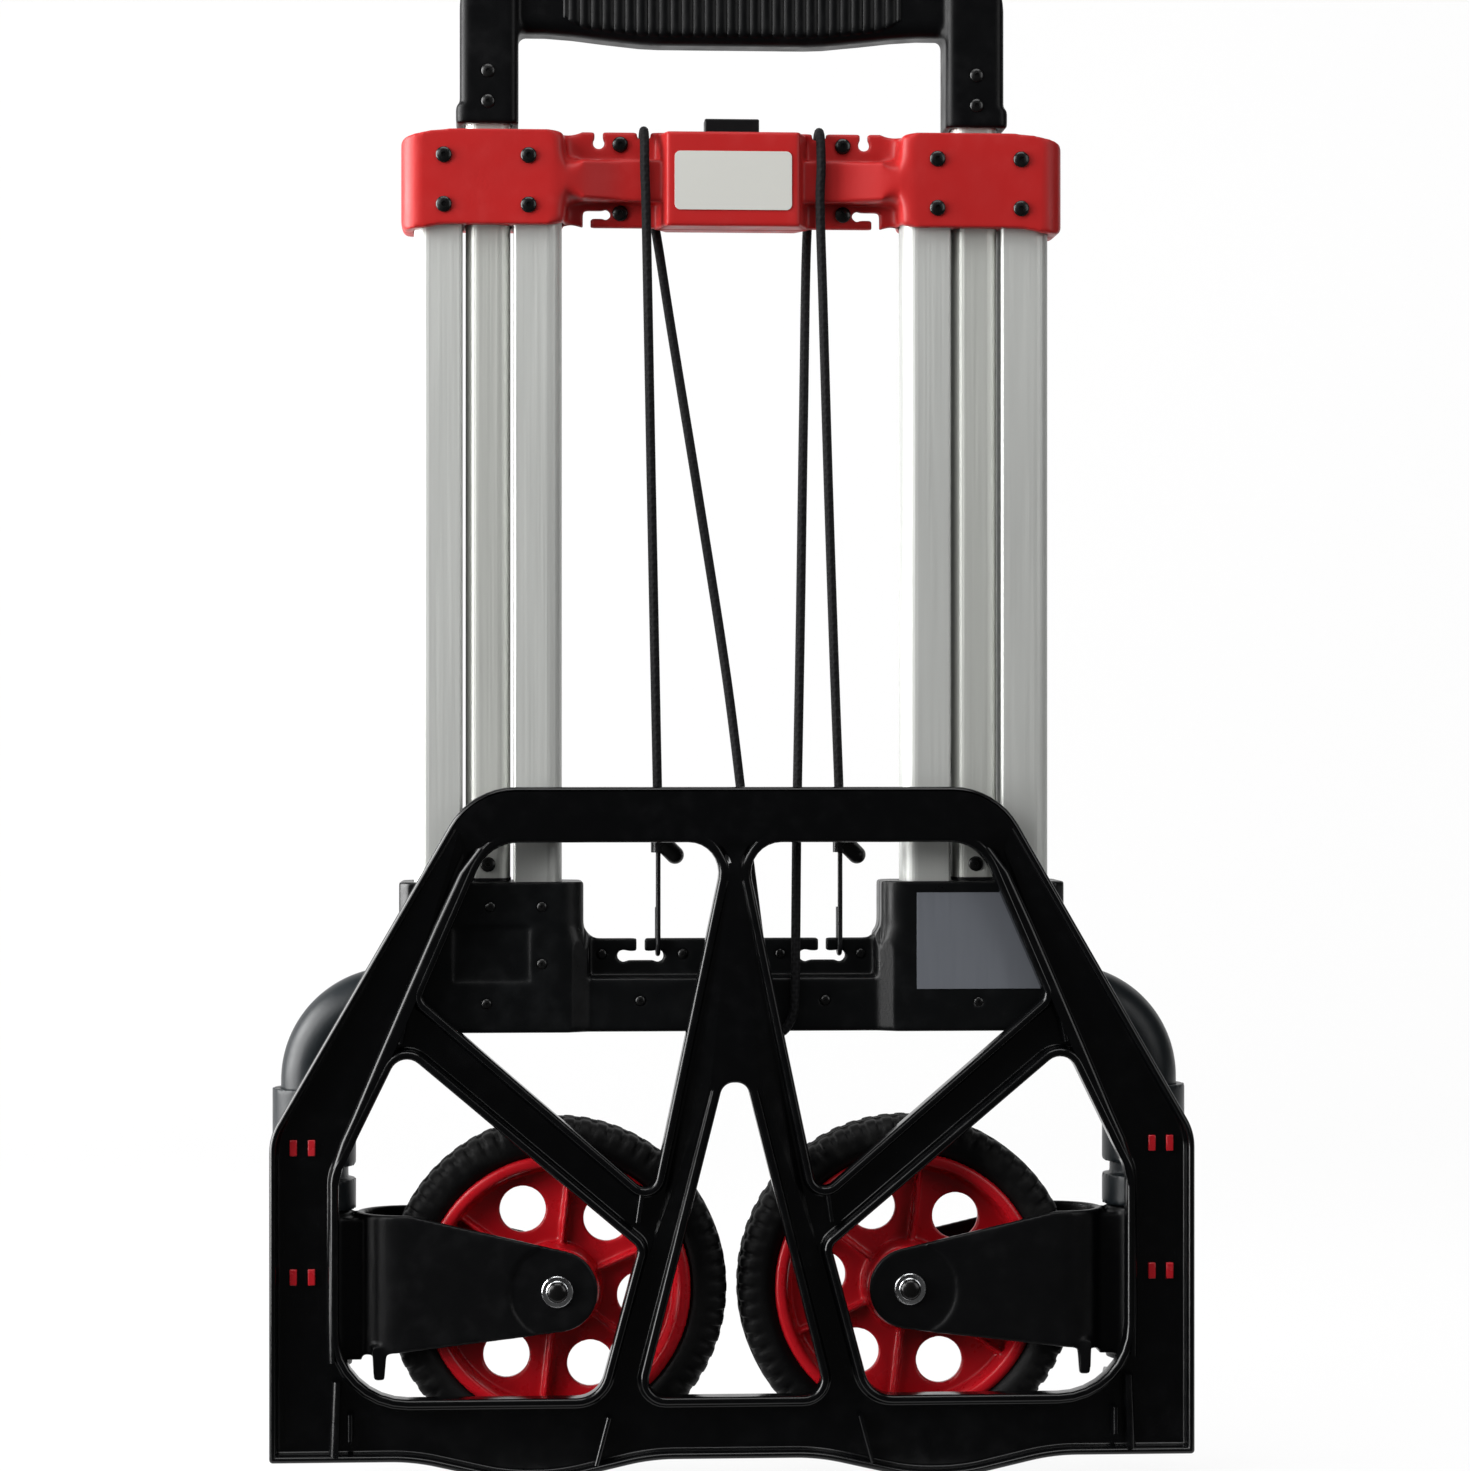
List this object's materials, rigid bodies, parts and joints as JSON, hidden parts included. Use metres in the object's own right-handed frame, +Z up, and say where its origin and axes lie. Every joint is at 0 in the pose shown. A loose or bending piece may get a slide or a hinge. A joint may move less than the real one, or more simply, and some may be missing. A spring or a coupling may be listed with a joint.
{
  "type": "folding luggage cart",
  "caption": "Folded luggage cart with a telescoping handle, swing-in wheels, a fold-down toe plate and an elastic cord with hooks.",
  "frame": {"origin": "middle of the bounding box at its foot, under the lobes of the folded toe plate", "axes": "+Z up along the rails and the handle, +X to the right when facing the toe plate, +Y to the rear, away from the toe plate"},
  "size_m": [0.486, 0.066, 0.797],
  "materials": {
    "rail": "satin",
    "handle_tube": "satin",
    "bracket_red": "satin",
    "bracket_charcoal": "matte",
    "black_screw": "semi-gloss",
    "label_white": "satin",
    "label_grey": "satin",
    "elbow_grey": "satin",
    "post_steel": "satin",
    "foot_black": "satin",
    "pin_steel": "satin",
    "grip_black": "matte",
    "shoe_black": "matte",
    "button_black": "satin",
    "plate_black": "semi-gloss",
    "buffer_red": "matte",
    "carrier_black": "satin",
    "axle_bright": "satin",
    "tyre": "matte",
    "rim_red": "semi-gloss",
    "bush_white": "satin",
    "cord_black": "woven",
    "hook_wire": "semi-gloss",
    "cord_end_black": "satin"
  },
  "bodies": {
    "frame": {"rail_outer_left": "rail", "rail_outer_right": "rail", "rail_inner_left": "rail", "rail_inner_right": "rail", "upper_bracket_front": "bracket_red", "upper_bracket_rear": "bracket_red", "upper_bracket_screws": "black_screw", "upper_label": "label_white", "lower_bracket_front": "bracket_charcoal", "lower_bracket_rear": "bracket_charcoal", "lower_bracket_screws": "black_screw", "lower_label": "label_grey", "shoulder_left": "elbow_grey", "shoulder_right": "elbow_grey", "collar_left": "elbow_grey", "collar_right": "elbow_grey", "post_ring_left": "elbow_grey", "post_ring_right": "elbow_grey", "post_left": "post_steel", "post_right": "post_steel", "foot_block_left": "foot_black", "foot_block_right": "foot_black", "hinge_pin_left": "pin_steel", "hinge_pin_right": "pin_steel", "bolt_spring": "pin_steel", "elastic_cord": "cord_black", "cord_hooks": "hook_wire", "cord_ends": "cord_end_black"},
    "handle": {"handle_grip": "grip_black", "handle_tube_left": "handle_tube", "handle_tube_right": "handle_tube", "handle_rivets": "black_screw", "guide_shoes": "shoe_black", "guide_rivets": "black_screw"},
    "button": {"release_button": "button_black"},
    "bolt_left": {"lock_bolt_left": "pin_steel"},
    "bolt_right": {"lock_bolt_right": "pin_steel"},
    "plate": {"toe_plate": "plate_black", "plate_buffers": "buffer_red"},
    "carrier_left": {"carrier_left": "carrier_black", "axle_left": "axle_bright", "axle_nut_left": "axle_bright"},
    "wheel_left": {"tyre_left": "tyre", "rim_left": "rim_red", "wheel_bush_left": "bush_white"},
    "carrier_right": {"carrier_right": "carrier_black", "axle_right": "axle_bright", "axle_nut_right": "axle_bright"},
    "wheel_right": {"tyre_right": "tyre", "rim_right": "rim_red", "wheel_bush_right": "bush_white"}
  },
  "joints": [
    {"name": "handle_slide", "type": "slide", "parent": "frame", "child": "handle", "axis": [0, 0, 1], "range_m": [0, 0.31]},
    {"name": "button_press", "type": "slide", "parent": "frame", "child": "button", "axis": [0, 0, -1], "range_m": [0, 0.005], "stiffness_N_per_m": 400},
    {"name": "bolt_left_slide", "type": "slide", "parent": "frame", "child": "bolt_left", "axis": [1, 0, 0], "range_m": [0, 0.005], "deforming": ["bolt_spring"]},
    {"name": "bolt_right_slide", "type": "slide", "parent": "frame", "child": "bolt_right", "axis": [-1, 0, 0], "range_m": [0, 0.005], "deforming": ["bolt_spring"]},
    {"name": "plate_fold", "type": "hinge", "parent": "frame", "child": "plate", "pos_m": [0, 0.002, 0.043], "axis": [1, 0, 0], "range_deg": [0, 90]},
    {"name": "carrier_left_swing", "type": "hinge", "parent": "frame", "child": "carrier_left", "pos_m": [-0.221, 0.002, 0.098], "axis": [0, 0, 1], "range_deg": [0, 90]},
    {"name": "carrier_right_swing", "type": "hinge", "parent": "frame", "child": "carrier_right", "pos_m": [0.221, 0.002, 0.098], "axis": [0, 0, -1], "range_deg": [0, 90]},
    {"name": "wheel_left_spin", "type": "hinge", "parent": "carrier_left", "child": "wheel_left", "pos_m": [-0.093, 0.002, 0.098], "axis": [0, 1, 0], "continuous": true},
    {"name": "wheel_right_spin", "type": "hinge", "parent": "carrier_right", "child": "wheel_right", "pos_m": [0.093, 0.002, 0.098], "axis": [0, 1, 0], "continuous": true}
  ],
  "couplings": [
    {"joint": "bolt_left_slide", "follows": "button_press", "ratio": 1},
    {"joint": "bolt_right_slide", "follows": "button_press", "ratio": 1},
    {"joint": "carrier_left_swing", "follows": "plate_fold", "ratio": 1},
    {"joint": "carrier_right_swing", "follows": "plate_fold", "ratio": 1}
  ]
}
